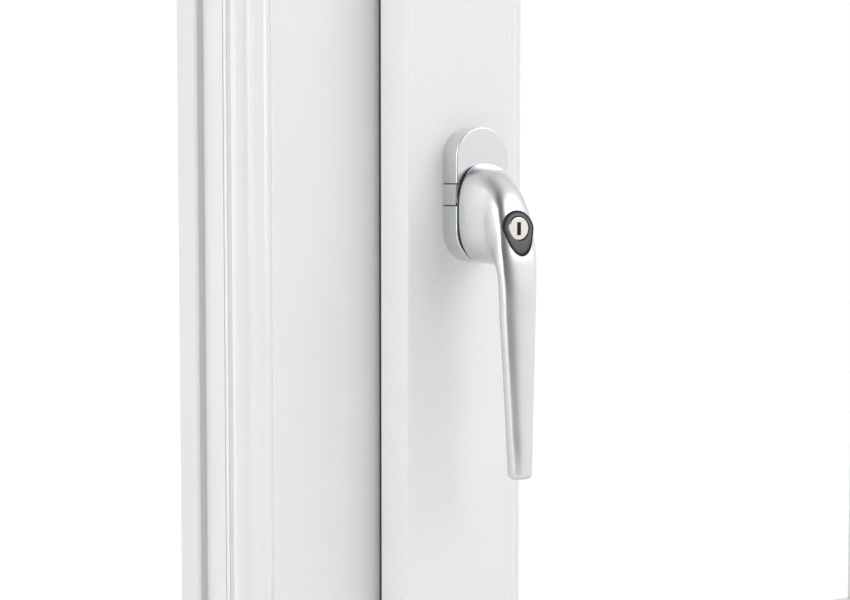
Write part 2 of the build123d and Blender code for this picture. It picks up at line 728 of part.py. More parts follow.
def teardrop(radius, point_drop):
    """A round surround drawn down to a point, in the plane of the sash face, centred on the lock's axis."""
    side = radius * sin(radians(20))
    edge = radius * cos(radians(20))
    bow = 0.62 * edge
    lines = [
        ThreePointArc((-edge, -side), (0, radius), (edge, -side)),
        ThreePointArc((edge, -side), (bow, -0.66 * point_drop), (0, -point_drop)),
        ThreePointArc((0, -point_drop), (-bow, -0.66 * point_drop), (-edge, -side)),
    ]
    return Plane.XZ * make_face(lines)


housing_near = 30.0


def surround_solid(radius, point_drop, near, front):
    """The teardrop from a distance out to a front that leans back at the top, like the lever's face."""
    body = extrude(teardrop(radius, point_drop), 60 - near)
    body = Pos(0, -near, 0) * body
    cutter = Pos(0, -front - 20, 0) * Rot(surround_tilt, 0, 0) * Box(60, 40, 80)
    return Pos(handle_x, sash_y, handle_z - lock_drop) * (body - cutter)


def lever():
    body = Pos(handle_x, sash_y, handle_z) * lever_blank()
    hole = spindle_side + 2 * spindle_fit
    body -= Pos(handle_x, sash_y - 20, handle_z) * Box(hole, 21, hole)
    body -= surround_solid(housing_radius + 0.15, housing_point + 0.15, housing_near, 60)
    body -= outward_rod(pin_radius + 0.1, 10, housing_near + 1, z=-pin_drop)
    body -= outward_rod(3.4, 22, housing_near + 1, z=-pin_drop)
    return body


def lock_housing():
    body = surround_solid(housing_radius, housing_point, housing_near + 0.2, surround_front)
    body -= outward_rod(plug_radius + plug_fit, housing_near + 3, 60, z=-lock_drop)
    body -= outward_rod(pin_radius + 0.1, 20, housing_near + 4, z=-pin_drop)
    return body


def key_plug():
    plug = outward_rod(plug_radius, housing_near + 5.6, plug_front, z=-lock_drop)
    plug = fillet(plug.edges().filter_by(GeomType.CIRCLE).sort_by(Axis.Y)[0], 0.5)
    slot = Box(key_slot_width, 10, key_slot_height)
    slot = Pos(handle_x, sash_y - plug_front + 4, handle_z - lock_drop) * slot
    return plug - slot


def lock_cam():
    return outward_rod(4.6, housing_near + 4.2, housing_near + 5.6, z=-lock_drop)


def lock_pin():
    pin = outward_rod(pin_radius, rose_depth + lever_gap + 0.3, housing_near + 3.6, z=-pin_drop)
    return pin + outward_rod(3.0, 26.5, 28.0, z=-pin_drop)


def pin_spring():
    return outward_rod(3.1, 22.3, 26.2 - pin_travel, z=-pin_drop) - outward_rod(2.3, 22, 27, z=-pin_drop)


# ---- Hinges ----
hinge_zs = [middle_z - hinge_spacing / 2, middle_z + hinge_spacing / 2]
bore = hinge_pin_radius + running_fit
screw_rows = (-0.32, 0.32)


def hinge_pieces():
    parts = {name: [] for name in ("frame_leaf", "sash_leaf", "pin", "bush", "cap", "frame_screw", "sash_screw")}
    for z in hinge_zs:
        low, high = z - knuckle_length, z + knuckle_length
        barrel = rod_along("z", knuckle_radius, low, z - hinge_gap / 2, x=hinge_x, y=hinge_y)
        plate_left, plate_right = hinge_x - 1, hinge_x + leaf_width
        leaf = barrel + box(plate_left, plate_right, room_y - leaf_thickness, room_y, low, z - hinge_gap / 2)
        leaf += box(plate_left, hinge_x + knuckle_radius - 1, hinge_y, room_y, low, z - hinge_gap / 2)
        leaf -= rod_along("z", bore, low - 1, z + 1, x=hinge_x, y=hinge_y)
        barrel = rod_along("z", knuckle_radius, z + hinge_gap / 2, high, x=hinge_x, y=hinge_y)
        face_left = hinge_x - leaf_width - hinge_offset
        flange = box(face_left, hinge_x, sash_y - leaf_thickness, sash_y, z + hinge_gap / 2, high)
        web = box(hinge_x - hinge_offset + 0.5, hinge_x + knuckle_radius - 1, sash_y - leaf_thickness, hinge_y,
                  z + hinge_gap / 2, high)
        sleeve = bore + bush_wall
        upper = barrel + flange + web
        upper -= rod_along("z", sleeve + 0.02, z - 1, high + 1, x=hinge_x, y=hinge_y)
        bush = rod_along("z", sleeve, z + hinge_gap / 2, high - 1, x=hinge_x, y=hinge_y)
        bush -= rod_along("z", bore, z - 1, high + 1, x=hinge_x, y=hinge_y)
        for row in screw_rows:
            frame_z, sash_z = z - knuckle_length * (0.5 + row), z + knuckle_length * (0.5 + row)
            for across in (0.4, 0.8):
                x = hinge_x + across * leaf_width
                leaf -= rod_along("y", small_head_radius, room_y - leaf_thickness - 1, room_y - 1.4, x=x, z=frame_z)
                leaf -= rod_along("y", small_screw_radius + 0.1, room_y - 4, room_y + 1, x=x, z=frame_z)
                head = rod_along("y", small_head_radius - 0.1, room_y - leaf_thickness + 0.2, room_y - 1.4, x=x,
                                 z=frame_z)
                shank = rod_along("y", small_screw_radius, room_y - 1.5, room_y + profile_wall, x=x, z=frame_z)
                parts["frame_screw"].append(head + shank)
                x = hinge_x - hinge_offset - across * leaf_width + 4
                upper -= rod_along("y", small_head_radius, sash_y - leaf_thickness - 1, sash_y - 1.4, x=x, z=sash_z)
                upper -= rod_along("y", small_screw_radius + 0.1, sash_y - 4, sash_y + 1, x=x, z=sash_z)
                head = rod_along("y", small_head_radius - 0.1, sash_y - leaf_thickness + 0.2, sash_y - 1.4, x=x,
                                 z=sash_z)
                shank = rod_along("y", small_screw_radius, sash_y - 1.5, sash_y + profile_wall, x=x, z=sash_z)
                parts["sash_screw"].append(head + shank)
        parts["frame_leaf"].append(leaf)
        parts["sash_leaf"].append(upper)
        parts["pin"].append(rod_along("z", hinge_pin_radius, low, high + 0.6, x=hinge_x, y=hinge_y))
        parts["bush"].append(bush)
        cap = rod_along("z", knuckle_radius, low - cap_height, low, x=hinge_x, y=hinge_y)
        parts["cap"].append(fillet(cap.edges().sort_by(Axis.Z)[0], 1.5))
    return parts


# ---- Every node ----
hinge = hinge_pieces()
frame_body = outer_frame()
sash_body = sash_profile()
for screw in hinge["frame_screw"]:
    frame_body -= screw
for screw in hinge["sash_screw"]:
    sash_body -= screw
for screw in plate_screws():
    sash_body -= screw
keep_bodies, keep_screws = keeps()

keep_node("outer_frame", frame_body)
keep_node("frame_reinforcement", *frame_steel())
keep_node("mullion", keep_screw_holes(mullion()))
keep_node("mullion_reinforcement", mullion_steel())
keep_node("drain_caps", *drain_caps())
keep_node("frame_rebate_gasket", rebate_gasket())
glazing("fixed", fixed_opening, opening_height, fixed_middle_x, room_y, leg_y, leg_reach)
keep_node("keeps", *keep_bodies)
keep_node("keep_screws", *keep_screws)
keep_node("hinge_frame_leaves", *hinge["frame_leaf"])
keep_node("hinge_pins", *hinge["pin"])
keep_node("hinge_caps", *hinge["cap"])
keep_node("hinge_frame_screws", *hinge["frame_screw"])

keep_node("sash_profile", sash_body)
keep_node("sash_reinforcement",
          *ring_steel(SASH_CHAMBER, sash_width, sash_height, sash_middle_x, steel_setback))
keep_node("sash_overlap_gasket", overlap_gasket())
glazing("sash", sash_width - 2 * sash_face, sash_height - 2 * sash_face, sash_middle_x, sash_y, sash_leg_y,
        sash_leg_reach)
keep_node("hinge_sash_leaves", *hinge["sash_leaf"])
keep_node("hinge_bushes", *hinge["bush"])
keep_node("hinge_sash_screws", *hinge["sash_screw"])
keep_node("faceplate", faceplate())
keep_node("faceplate_screws", *plate_screws())
keep_node("gear_case", case_half(False))
keep_node("gear_case_cover", case_half(True))
keep_node("drive_rod", drive_rod())
keep_node("locking_cams", *cams())
keep_node("drive_pinion", pinion())
keep_node("spindle", spindle())
keep_node("rose_base", rose_base())
keep_node("rose_upper_cover", rose_cover(1))
keep_node("rose_lower_cover", rose_cover(-1))
keep_node("handle_screws", *handle_screws())
keep_node("detent_ring", detent_ring())
keep_node("wave_washer", wave_washer())
keep_node("lever", lever())
keep_node("lock_housing", lock_housing())
keep_node("key_plug", key_plug())
keep_node("lock_cam", lock_cam())
keep_node("lock_pin", lock_pin())
keep_node("pin_spring", pin_spring())

os.makedirs("parts", exist_ok=True)
for name, solids in NODES.items():
    export_step(Compound(solids), f"parts/{name}.step")
print(len(NODES), "nodes; handle axis", handle_x, handle_z, "hinge axis", hinge_x, hinge_y)
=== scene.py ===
import json
from math import atan2, cos, pi, radians, sin

import bmesh
import bpy
import numpy as np
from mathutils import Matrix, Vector


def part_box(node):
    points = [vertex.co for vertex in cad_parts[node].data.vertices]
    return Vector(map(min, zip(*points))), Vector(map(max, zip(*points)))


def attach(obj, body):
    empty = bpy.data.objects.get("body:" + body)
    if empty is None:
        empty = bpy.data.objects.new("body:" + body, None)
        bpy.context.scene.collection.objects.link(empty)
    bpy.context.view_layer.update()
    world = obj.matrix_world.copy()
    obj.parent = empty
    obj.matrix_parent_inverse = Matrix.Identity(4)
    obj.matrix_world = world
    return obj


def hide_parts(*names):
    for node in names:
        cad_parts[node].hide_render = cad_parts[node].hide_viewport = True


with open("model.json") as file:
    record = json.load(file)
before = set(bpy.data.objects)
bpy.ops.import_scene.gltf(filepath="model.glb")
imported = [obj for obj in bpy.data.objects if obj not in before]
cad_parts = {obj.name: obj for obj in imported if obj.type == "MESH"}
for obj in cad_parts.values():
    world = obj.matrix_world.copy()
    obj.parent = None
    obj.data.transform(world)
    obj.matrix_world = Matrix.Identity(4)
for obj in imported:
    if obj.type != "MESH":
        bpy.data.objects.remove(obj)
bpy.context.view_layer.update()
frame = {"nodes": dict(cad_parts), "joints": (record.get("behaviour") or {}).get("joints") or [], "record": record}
nodes = frame["nodes"]

# ---- Places that follow from the frame, in metres ----
MM = 0.001
turn_joint = next(joint for joint in frame["joints"] if joint["name"] == "handle_turn")
AXIS_X, FACE_Y, AXIS_Z = turn_joint["pos_m"]
window_low, window_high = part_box("outer_frame")
sash_low, sash_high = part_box("sash_profile")


def out(x, distance, z):
    """A point in millimetres from the spindle's axis, at a distance out from the sash face."""
    return Vector((AXIS_X + x * MM, FACE_Y - distance * MM, AXIS_Z + z * MM))


# ---- Materials ----
class Nodes:
    """A short way to write node trees."""

    def __init__(self, tree):
        self.tree = tree
        self.nodes = tree.nodes
        self.links = tree.links

    def add(self, kind, **values):
        node = self.nodes.new(kind)
        for key, value in values.items():
            setattr(node, key, value)
        return node

    def link(self, source, target):
        self.links.new(source, target)

    def math(self, operation, first, second=None, clamp=False):
        node = self.add("ShaderNodeMath", operation=operation, use_clamp=clamp)
        for socket, value in zip(node.inputs, (first, second)):
            if value is None:
                continue
            if isinstance(value, (int, float)):
                socket.default_value = value
            else:
                self.link(value, socket)
        return node.outputs[0]

    def noise(self, vector, scale, detail=2.0, rough=0.5):
        node = self.add("ShaderNodeTexNoise")
        node.inputs["Scale"].default_value = scale
        node.inputs["Detail"].default_value = detail
        node.inputs["Roughness"].default_value = rough
        self.link(vector, node.inputs["Vector"])
        return node.outputs["Fac"]

    def spread(self, value, low, high, start=0.3, end=0.7):
        node = self.add("ShaderNodeMapRange")
        for name, number in (("From Min", start), ("From Max", end), ("To Min", low), ("To Max", high)):
            node.inputs[name].default_value = number
        self.link(value, node.inputs["Value"])
        return node.outputs["Result"]

    def blend(self, factor, dark, light):
        node = self.add("ShaderNodeMix", data_type="RGBA")
        if isinstance(dark, tuple):
            node.inputs[6].default_value = (*dark, 1)
        else:
            self.link(dark, node.inputs[6])
        node.inputs[7].default_value = (*light, 1)
        self.link(factor, node.inputs[0])
        return node.outputs[2]


WELD_HALF_WIDTH = 0.7 * MM
WELD_COVER = 0.5  # how far the weld's darker tint covers the profile's own
WELD_TINT = 0.62
WELD_DEPTH = 6.0  # in heights of the surface grain


def weld_mask(tree, place, low, high):
    """1 on the welded mitre lines of a ring between two corners, 0 elsewhere."""
    parts = tree.add("ShaderNodeSeparateXYZ")
    tree.link(place, parts.inputs[0])
    middle_x, middle_z = (low.x + high.x) / 2, (low.z + high.z) / 2
    across = tree.math("ABSOLUTE", tree.math("SUBTRACT", parts.outputs["X"], middle_x))
    upward = tree.math("ABSOLUTE", tree.math("SUBTRACT", parts.outputs["Z"], middle_z))
    extra = (high.x - low.x) / 2 - (high.z - low.z) / 2
    offset = tree.math("ABSOLUTE", tree.math("SUBTRACT", tree.math("SUBTRACT", across, upward), extra))
    return tree.math("SUBTRACT", 1.0, tree.math("DIVIDE", offset, WELD_HALF_WIDTH), clamp=True)


def finish_of(name, colour, shade, rough, metallic=0.0, cloud=40.0, grain=900.0, bump=0.00002, alpha=1.0,
              coat=0.0, weld=None, cells=None):
    """A procedural finish: cloudy colour, grain in the roughness, and a fine relief.

    A ring's two corners in weld add its mitre lines, and cells adds the spangle of galvanised steel.
    """
    material = bpy.data.materials.new(name)
    material.use_nodes = True
    tree = Nodes(material.node_tree)
    shader = material.node_tree.nodes["Principled BSDF"]
    shader.inputs["Metallic"].default_value = metallic
    shader.inputs["Alpha"].default_value = alpha
    shader.inputs["Coat Weight"].default_value = coat
    shader.inputs["Coat Roughness"].default_value = 0.15
    place = tree.add("ShaderNodeTexCoord").outputs["Object"]
    clouds = tree.noise(place, cloud, 4.0, 0.6)
    fine = tree.noise(place, grain, 3.0, 0.6)
    if cells:
        cell = tree.add("ShaderNodeTexVoronoi")
        cell.inputs["Scale"].default_value = cells
        tree.link(place, cell.inputs["Vector"])
        tone = tree.add("ShaderNodeSeparateColor")
        tree.link(cell.outputs["Color"], tone.inputs[0])
        clouds = tree.math("MULTIPLY", tree.math("ADD", clouds, tone.outputs[0]), 0.5)
    dark = tuple(channel * (1 - shade) for channel in colour)
    tint = tree.blend(tree.spread(clouds, 0.0, 1.0), dark, colour)
    relief = fine
    if weld:
        seam = weld_mask(tree, place, *weld)
        seam_colour = tuple(channel * WELD_TINT for channel in colour)
        tint = tree.blend(tree.math("MULTIPLY", seam, WELD_COVER), tint, seam_colour)
        relief = tree.math("SUBTRACT", relief, tree.math("MULTIPLY", seam, WELD_DEPTH))
    tree.link(tint, shader.inputs["Base Color"])
    tree.link(tree.spread(fine, *rough), shader.inputs["Roughness"])
    bumps = tree.add("ShaderNodeBump")
    bumps.inputs["Strength"].default_value = 1.0
    bumps.inputs["Distance"].default_value = bump
    tree.link(relief, bumps.inputs["Height"])
    tree.link(bumps.outputs[0], shader.inputs["Normal"])
    return material


PVC = (0.838, 0.841, 0.832)
FINISHES = {
    "white_pvc": finish_of("white_pvc", PVC, 0.02, (0.20, 0.28), cloud=12, grain=1400, bump=0.000012),
    "galvanised_steel": finish_of("galvanised_steel", (0.62, 0.64, 0.66), 0.35, (0.3, 0.5), 1.0, 60, 700,
                                  cells=160),
    "black_rubber": finish_of("black_rubber", (0.022, 0.022, 0.024), 0.35, (0.45, 0.62), cloud=90, grain=2500,
                              bump=0.00003),
    "grey_rubber": finish_of("grey_rubber", (0.70, 0.70, 0.69), 0.06, (0.45, 0.6), cloud=90, grain=2500,
                             bump=0.00003),
    "clear_glass": finish_of("clear_glass", (0.93, 0.97, 0.95), 0.02, (0.01, 0.03), cloud=6, grain=30,
                             bump=0.0, alpha=0.06),
    "black_plastic": finish_of("black_plastic", (0.03, 0.03, 0.032), 0.3, (0.35, 0.5), cloud=120, grain=3000),
    "white_plastic": finish_of("white_plastic", (0.82, 0.825, 0.82), 0.03, (0.3, 0.42), cloud=60, grain=1800),
    "block_plastic": finish_of("block_plastic", (0.08, 0.22, 0.42), 0.2, (0.4, 0.55), cloud=60, grain=1500),
    "satin_silver": finish_of("satin_silver", (0.735, 0.745, 0.76), 0.03, (0.27, 0.34), 1.0, 90, 5200,
                              bump=0.000006),
    "plug_metal": finish_of("plug_metal", (0.86, 0.83, 0.77), 0.06, (0.24, 0.34), 1.0, 300, 4000,
                            bump=0.00001),
    "zinc_steel": finish_of("zinc_steel", (0.70, 0.71, 0.73), 0.12, (0.25, 0.4), 1.0, 70, 1800,
                            bump=0.000012),
    "spring_steel": finish_of("spring_steel", (0.5, 0.5, 0.52), 0.15, (0.22, 0.35), 1.0, 90, 2500),
    "painted_white": finish_of("painted_white", (0.85, 0.855, 0.85), 0.03, (0.28, 0.4), cloud=70, grain=1600,
                               bump=0.00003, coat=0.2),
    "sintered_steel": finish_of("sintered_steel", (0.36, 0.36, 0.38), 0.25, (0.4, 0.6), 1.0, 200, 3000,
                                bump=0.00003),
    "nylon": finish_of("nylon", (0.78, 0.77, 0.72), 0.05, (0.4, 0.5), cloud=90, grain=1800),
}
FRAME_PVC = finish_of("frame_pvc", PVC, 0.02, (0.22, 0.30), cloud=12, grain=1400, bump=0.000012,
                      weld=(window_low, window_high))
SASH_PVC = finish_of("sash_pvc", PVC, 0.02, (0.22, 0.30), cloud=12, grain=1400, bump=0.000012,
                     weld=(sash_low, sash_high))
SURROUND = finish_of("surround_plastic", (0.085, 0.075, 0.085), 0.2, (0.32, 0.44), cloud=300, grain=5000,
                     bump=0.00001)
# A flat near-black finish for the pieces that paint the shade inside gaps and the key slot.
PAINTED_GAP_SHADE = finish_of("painted_gap_shade", (0.008, 0.008, 0.009), 0.3, (0.6, 0.8), cloud=300, grain=4000)

slot_of = {part["node"]: part["material_slot"] for part in frame["record"]["subparts"]}
for name, piece in nodes.items():
    finish = FINISHES[slot_of[name]]
    if name == "outer_frame":
        finish = FRAME_PVC
    if name == "sash_profile":
        finish = SASH_PVC
    piece.data.materials.clear()
    piece.data.materials.append(finish)


# ---- Mesh helpers ----
def keep_mesh(name, mesh_data, body, finish, smooth_angle=32):
    """Puts a finished mesh into the scene, smooth up to an angle, riding on a body."""
    mesh_data.update()
    for polygon in mesh_data.polygons:
        polygon.use_smooth = True
    mesh_data.set_sharp_from_angle(angle=radians(smooth_angle))
    piece = bpy.data.objects.new(name, mesh_data)
    bpy.context.scene.collection.objects.link(piece)
    piece.data.materials.append(finish)
    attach(piece, body)
    return piece


def skin(name, rings, closed_ends=True):
    """A mesh through rings of equally many points."""
    count = len(rings[0])
    points = [point for loop in rings for point in loop]
    faces = []
    for row in range(len(rings) - 1):
        for column in range(count):
            following = (column + 1) % count
            a, b = row * count + column, row * count + following
            faces.append((a, b, b + count, a + count))
    if closed_ends:
        faces.append(tuple(reversed(range(count))))
        faces.append(tuple(range((len(rings) - 1) * count, len(rings) * count)))
    data = bpy.data.meshes.new(name)
    data.from_pydata(points, [], faces)
    working = bmesh.new()
    working.from_mesh(data)
    bmesh.ops.recalc_face_normals(working, faces=working.faces)
    working.to_mesh(data)
    working.free()
    return data


# ---- Lever ----
ROSE_DEPTH, LEVER_LENGTH, BOSS_BOTTOM = 13.0, 135.5, 33.0
FOOT = ROSE_DEPTH + 0.4
START = 14.4  # the lever's own metal starts here, in front of the dark ring of painted shade at its foot
START_EDGE = 0.5  # the rounding of that first edge
NECK_OUT, NECK_DOWN, NECK_RADIUS = 34.9, 37.2, 3.0  # the centre of the neck's bend, and its inner radius
BOSS_FALL = 1.2  # how far the boss's underside falls on its way to the neck
BOSS_SQUARENESS, GRIP_SQUARENESS = 2.5, 4.4
SECTION_SPACING = 0.9
CREASE = 0.62  # height of the grip's crease, where 1 is its crown
CREASE_CLEARANCE = 0.012  # an even angle nearer than this to the crease is left out
RING_POINTS = 112


def lever_sections():
    """The sections from boss to tip: inner point, outer point, half width, squareness, crease.

    A point is its distance out from the sash face and its height from the spindle's axis.
    """
    rows = []
    for distance, top, half_width in ((START, 14.5, 14.5), (START + START_EDGE, 14.9, 14.9), (18, 14.4, 14.8),
                                      (23, 13.0, 14.0), (28, 10.4, 12.8), (32, 7.2, 11.8)):
        fall = BOSS_FALL * (distance - FOOT) / (NECK_OUT - FOOT)
        inset = START_EDGE if distance == START else 0.0
        rows.append((distance, inset - BOSS_BOTTOM - fall, distance, top, half_width, BOSS_SQUARENESS, 0.0))
    for angle, reach, half_width, squareness, crease in (
            (4, 38.6, 11.3, 2.5, 0.0), (10, 33.8, 11.0, 2.55, 0.0), (17, 28.2, 10.8, 2.65, 0.0),
            (25, 23.2, 10.5, 2.85, 0.18), (42, 17.3, 9.9, 3.2, 0.62), (63, 14.3, 9.3, 3.7, 0.92)):
        outward, upward = sin(radians(angle)), cos(radians(angle))
        rows.append((NECK_OUT + NECK_RADIUS * outward, -NECK_DOWN + NECK_RADIUS * upward,
                     NECK_OUT + reach * outward, -NECK_DOWN + reach * upward, half_width, squareness, crease))
    for above, half_width, near, far in (
            (98.3, 8.9, 37.9, 48.3), (75, 7.95, 38.8, 49.0), (51.5, 6.9, 39.7, 49.6), (25, 5.75, 40.7, 50.2),
            (4.5, 4.85, 41.3, 50.7), (2.2, 4.75, 41.4, 50.6), (0.9, 4.4, 41.7, 50.2), (0.2, 3.8, 42.4, 49.5)):
        height = above - LEVER_LENGTH
        rows.append((near, height, far, height, half_width, GRIP_SQUARENESS, 1.0))
    return rows


def through(rows, spacing):
    """Rows of numbers turned into many more, on a smooth line through them."""
    rows = np.array(rows, float)
    gaps = np.linalg.norm(np.diff(rows[:, :4], axis=0), axis=1)
    knots = np.concatenate([[0], np.cumsum(np.maximum(gaps, 0.1))])
    step = np.diff(knots)[:, None]
    secant = np.diff(rows, axis=0) / step
    slopes = np.zeros_like(rows)
    slopes[0], slopes[-1] = secant[0], secant[-1]
    share = step[1:] / (step[1:] + step[:-1])
    slopes[1:-1] = share * secant[:-1] + (1 - share) * secant[1:]
    quiet = np.sign(secant[1:]) * np.sign(secant[:-1]) <= 0
    slopes[1:-1, 4:] = np.where(quiet[:, 4:], 0, slopes[1:-1, 4:])
    smoothed = []
    for index in range(len(rows) - 1):
        parts = max(2, int(round(step[index, 0] / spacing)))
        for part in range(parts):
            t = part / parts
            h00, h10 = 2 * t ** 3 - 3 * t ** 2 + 1, t ** 3 - 2 * t ** 2 + t
            h01, h11 = -2 * t ** 3 + 3 * t ** 2, t ** 3 - t ** 2
            smoothed.append(h00 * rows[index] + h10 * step[index] * slopes[index]
                            + h01 * rows[index + 1] + h11 * step[index] * slopes[index + 1])
    smoothed.append(rows[-1])
    return smoothed


def grip_outline():
    """The grip's section in a square from -1 to 1: a crowned front, a crease on the left, a rounded back."""
    side, front_drop = 0.84, 0.16
    corner_width, corner_drop = 0.16, 0.3
    back_width, back_height = 0.42, 0.5
    front_end = 1 - front_drop * side ** 2.4
    quarter = np.linspace(0, pi / 2, 16)
    points = [(-1.0, -0.6), (-1.0, CREASE)]
    points += [(x, 1 - (1 - CREASE) * abs(x) ** 2.7) for x in np.linspace(-0.995, 0, 40)]
    points += [(x, 1 - front_drop * x ** 2.4) for x in np.linspace(0.02, side, 30)]
    points += [(side + corner_width * sin(t), front_end - corner_drop * (1 - cos(t)))
               for t in np.linspace(0.1, pi / 2, 16)]
    points += [(1.0 - back_width * (1 - cos(t)), -back_height - back_height * sin(t)) for t in quarter]
    points += [(-1.0 + back_width * (1 - sin(t)), -back_height - back_height * cos(t)) for t in quarter]
    return np.array(points)


def polar(outline, angles):
    """Distances from the middle to a closed outline in the given directions."""
    turned = np.unwrap(np.arctan2(outline[:, 1], outline[:, 0]))
    if turned[-1] < turned[0]:
        outline, turned = outline[::-1], turned[::-1]
    reach = np.hypot(outline[:, 0], outline[:, 1])
    first = turned[0]
    wrapped = first + np.mod(np.array(angles) - first, 2 * pi)
    return np.interp(wrapped, np.append(turned, first + 2 * pi), np.append(reach, reach[0]))


def oval_reach(angle, squareness):
    """How far a squared oval reaches in a direction, where 1 is its half width."""
    return (abs(cos(angle)) ** squareness + abs(sin(angle)) ** squareness) ** (-1 / squareness)


crease_angle = atan2(CREASE, -1.0)
even_angles = [2 * pi * index / RING_POINTS for index in range(RING_POINTS)]
kept_angles = [angle for angle in even_angles if abs(angle - crease_angle) > CREASE_CLEARANCE]
angles = sorted(kept_angles + [crease_angle])
grip_reach = polar(grip_outline(), angles)


def lever_ring(row):
    """One ring of the lever, between a plain oval and the grip's creased section."""
    inner, outer = np.array(row[0:2]), np.array(row[2:4])
    half_width, squareness, crease = row[4:]
    middle, half = (inner + outer) / 2, (outer - inner) / 2
    ring = []
    for angle, reach in zip(angles, grip_reach):
        plain = oval_reach(angle, squareness)
        radial = plain + (reach - plain) * crease
        distance, height = middle + half * sin(angle) * radial
        ring.append(out(half_width * cos(angle) * radial, distance, height))
    return ring


lever_mesh = skin("lever_body", [lever_ring(row) for row in through(lever_sections(), SECTION_SPACING)])


# ---- Seal line and glass edges ----
LIP_SECTION = ((2.4, 0), (0.25, 0), (0.1, 0.8), (0.3, 1.9), (0.9, 2.7), (2.4, 2.8))  # inset, depth
PANE_EDGE_INSET, PANE_EDGE_MARGIN = 11.6 * MM, 0.1 * MM


def frame_loop(low, high, inset, y):
    """Four corners of an upright rectangle, inset from a box."""
    return [Vector((low.x + inset, y, low.z + inset)), Vector((high.x - inset, y, low.z + inset)),
            Vector((high.x - inset, y, high.z - inset)), Vector((low.x + inset, y, high.z - inset))]


lip_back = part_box("sash_overlap_gasket")[0].y
lip_loops = [frame_loop(sash_low, sash_high, inset * MM, lip_back + depth * MM)
             for inset, depth in LIP_SECTION]
keep_mesh("overlap_seal_lip", skin("overlap_seal_lip", lip_loops, False), "sash",
          FINISHES["black_rubber"])

EDGE = finish_of("glass_edge", (0.86, 0.90, 0.88), 0.04, (0.3, 0.42), cloud=50, grain=900, bump=0.00001)
for prefix, body in (("fixed", "frame"), ("sash", "sash")):
    for pane in ("inner_pane", "outer_pane"):
        low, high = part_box(prefix + "_" + pane)
        loops = [frame_loop(low, high, PANE_EDGE_INSET, y)
                 for y in (low.y + PANE_EDGE_MARGIN, high.y - PANE_EDGE_MARGIN)]
        name = prefix + "_" + pane + "_edge"
        keep_mesh(name, skin(name, loops, False), body, EDGE)


# ---- Painted shade in the rose's gaps: a dark ring behind the lever's foot, dark slabs in the cover seams ----
# A thin dark ring in the gap behind the lever's foot, painted shade of that gap.
FOOT_SHADE_BACK = 13.1
FOOT_SHADE_INSIDE = (12.4, -30.6, 12.0)  # half width, bottom, top; the lock pin passes inside it
FOOT_SHADE_OUTSIDE = (14.6, -32.8, 14.6)
OVAL_POINTS = 96
# Dark slabs set in the split between the rose's covers, painted shade of that seam.
SEAM_HEIGHT, SEAM_HALF_LENGTH, SEAM_HALF_WIDTH = 5.3, 14.75, 0.29
SEAM_BACK, SEAM_FRONT = 0.2, 12.5


def oval(half_width, low, high, distance):
    """A ring of points round the foot of the lever."""
    loop = []
    for index in range(OVAL_POINTS):
        angle = 2 * pi * index / OVAL_POINTS
        radial = oval_reach(angle, BOSS_SQUARENESS)
        height = (low + high) / 2 + (high - low) / 2 * sin(angle) * radial
        loop.append(out(half_width * cos(angle) * radial, distance, height))
    return loop


foot_shade_rings = [oval(*FOOT_SHADE_INSIDE, FOOT_SHADE_BACK), oval(*FOOT_SHADE_OUTSIDE, FOOT_SHADE_BACK),
                oval(*FOOT_SHADE_OUTSIDE, START), oval(*FOOT_SHADE_INSIDE, START), oval(*FOOT_SHADE_INSIDE, FOOT_SHADE_BACK)]
keep_mesh("lever_foot_shade", skin("lever_foot_shade", foot_shade_rings, False), "handle", PAINTED_GAP_SHADE)
for name, middle in (("rose_seam_upper", SEAM_HEIGHT), ("rose_seam_lower", -SEAM_HEIGHT)):
    corners = [(-SEAM_HALF_LENGTH, middle - SEAM_HALF_WIDTH), (SEAM_HALF_LENGTH, middle - SEAM_HALF_WIDTH),
               (SEAM_HALF_LENGTH, middle + SEAM_HALF_WIDTH), (-SEAM_HALF_LENGTH, middle + SEAM_HALF_WIDTH)]
    loops = [[out(x, distance, z) for x, z in corners] for distance in (SEAM_BACK, SEAM_FRONT)]
    keep_mesh(name, skin(name, loops), "sash", PAINTED_GAP_SHADE)


# ---- Lock surround ----
LOCK_DROP = 16.0  # from the spindle's axis down to the lock's
SURROUND_TILT = radians(10.8)
SURROUND_FRONT = 44.7
SURROUND_SHIFT = 0.4  # to the right of the lock's axis
TIP_POWER, TIP_WAIST = 1.25, 0.18  # how sharp the teardrop's point is, and how hollow its flanks
TEARDROP_POINTS = 72
# Radius, point drop and lift of each ring.
POCKET = ((8.75, 13.2, -3.2), (8.75, 13.2, 12.0))
# The gap shade is a dark sleeve inside the lever's pocket round the surround, painted shade of that gap.
GAP_SHADE_SECTION = ((8.7, 13.15, -3.1), (8.7, 13.15, -0.75), (8.5, 12.9, -0.6), (7.5, 11.7, -0.6), (7.5, 11.7, -3.1))
SURROUND_SECTION = ((7.6, 11.8, -3.0), (7.6, 11.8, -0.35), (7.4, 11.5, -0.1), (7.1, 11.0, 0.0),
                    (6.5, 9.6, 0.05), (6.0, 6.0, 0.0), (5.8, 5.8, -0.25), (5.75, 5.75, -2.6))
SHADE_REACH_X, SHADE_REACH_Z = 1.52, 4.3  # half axes of the oval whose diagonals are the shade's corners
SHADE_BACK, SHADE_FRONT = 41.2, 44.2


def teardrop(radius, point_drop):
    """A round outline drawn down to a softly rounded point."""
    points = []
    for index in range(TEARDROP_POINTS):
        angle = 2 * pi * index / TEARDROP_POINTS
        x, z = radius * sin(angle), radius * cos(angle)
        if z < 0:
            fall = -z / radius
            z = -point_drop * fall ** TIP_POWER
            x *= 1 - TIP_WAIST * fall * (1 - fall)
        points.append((x + SURROUND_SHIFT, z))
    return points


def on_lock_plane(x, z, lift):
    """A point on the leaning plane of the surround, lifted straight out from it."""
    return out(x, SURROUND_FRONT - z * sin(SURROUND_TILT) / cos(SURROUND_TILT) + lift, z - LOCK_DROP)


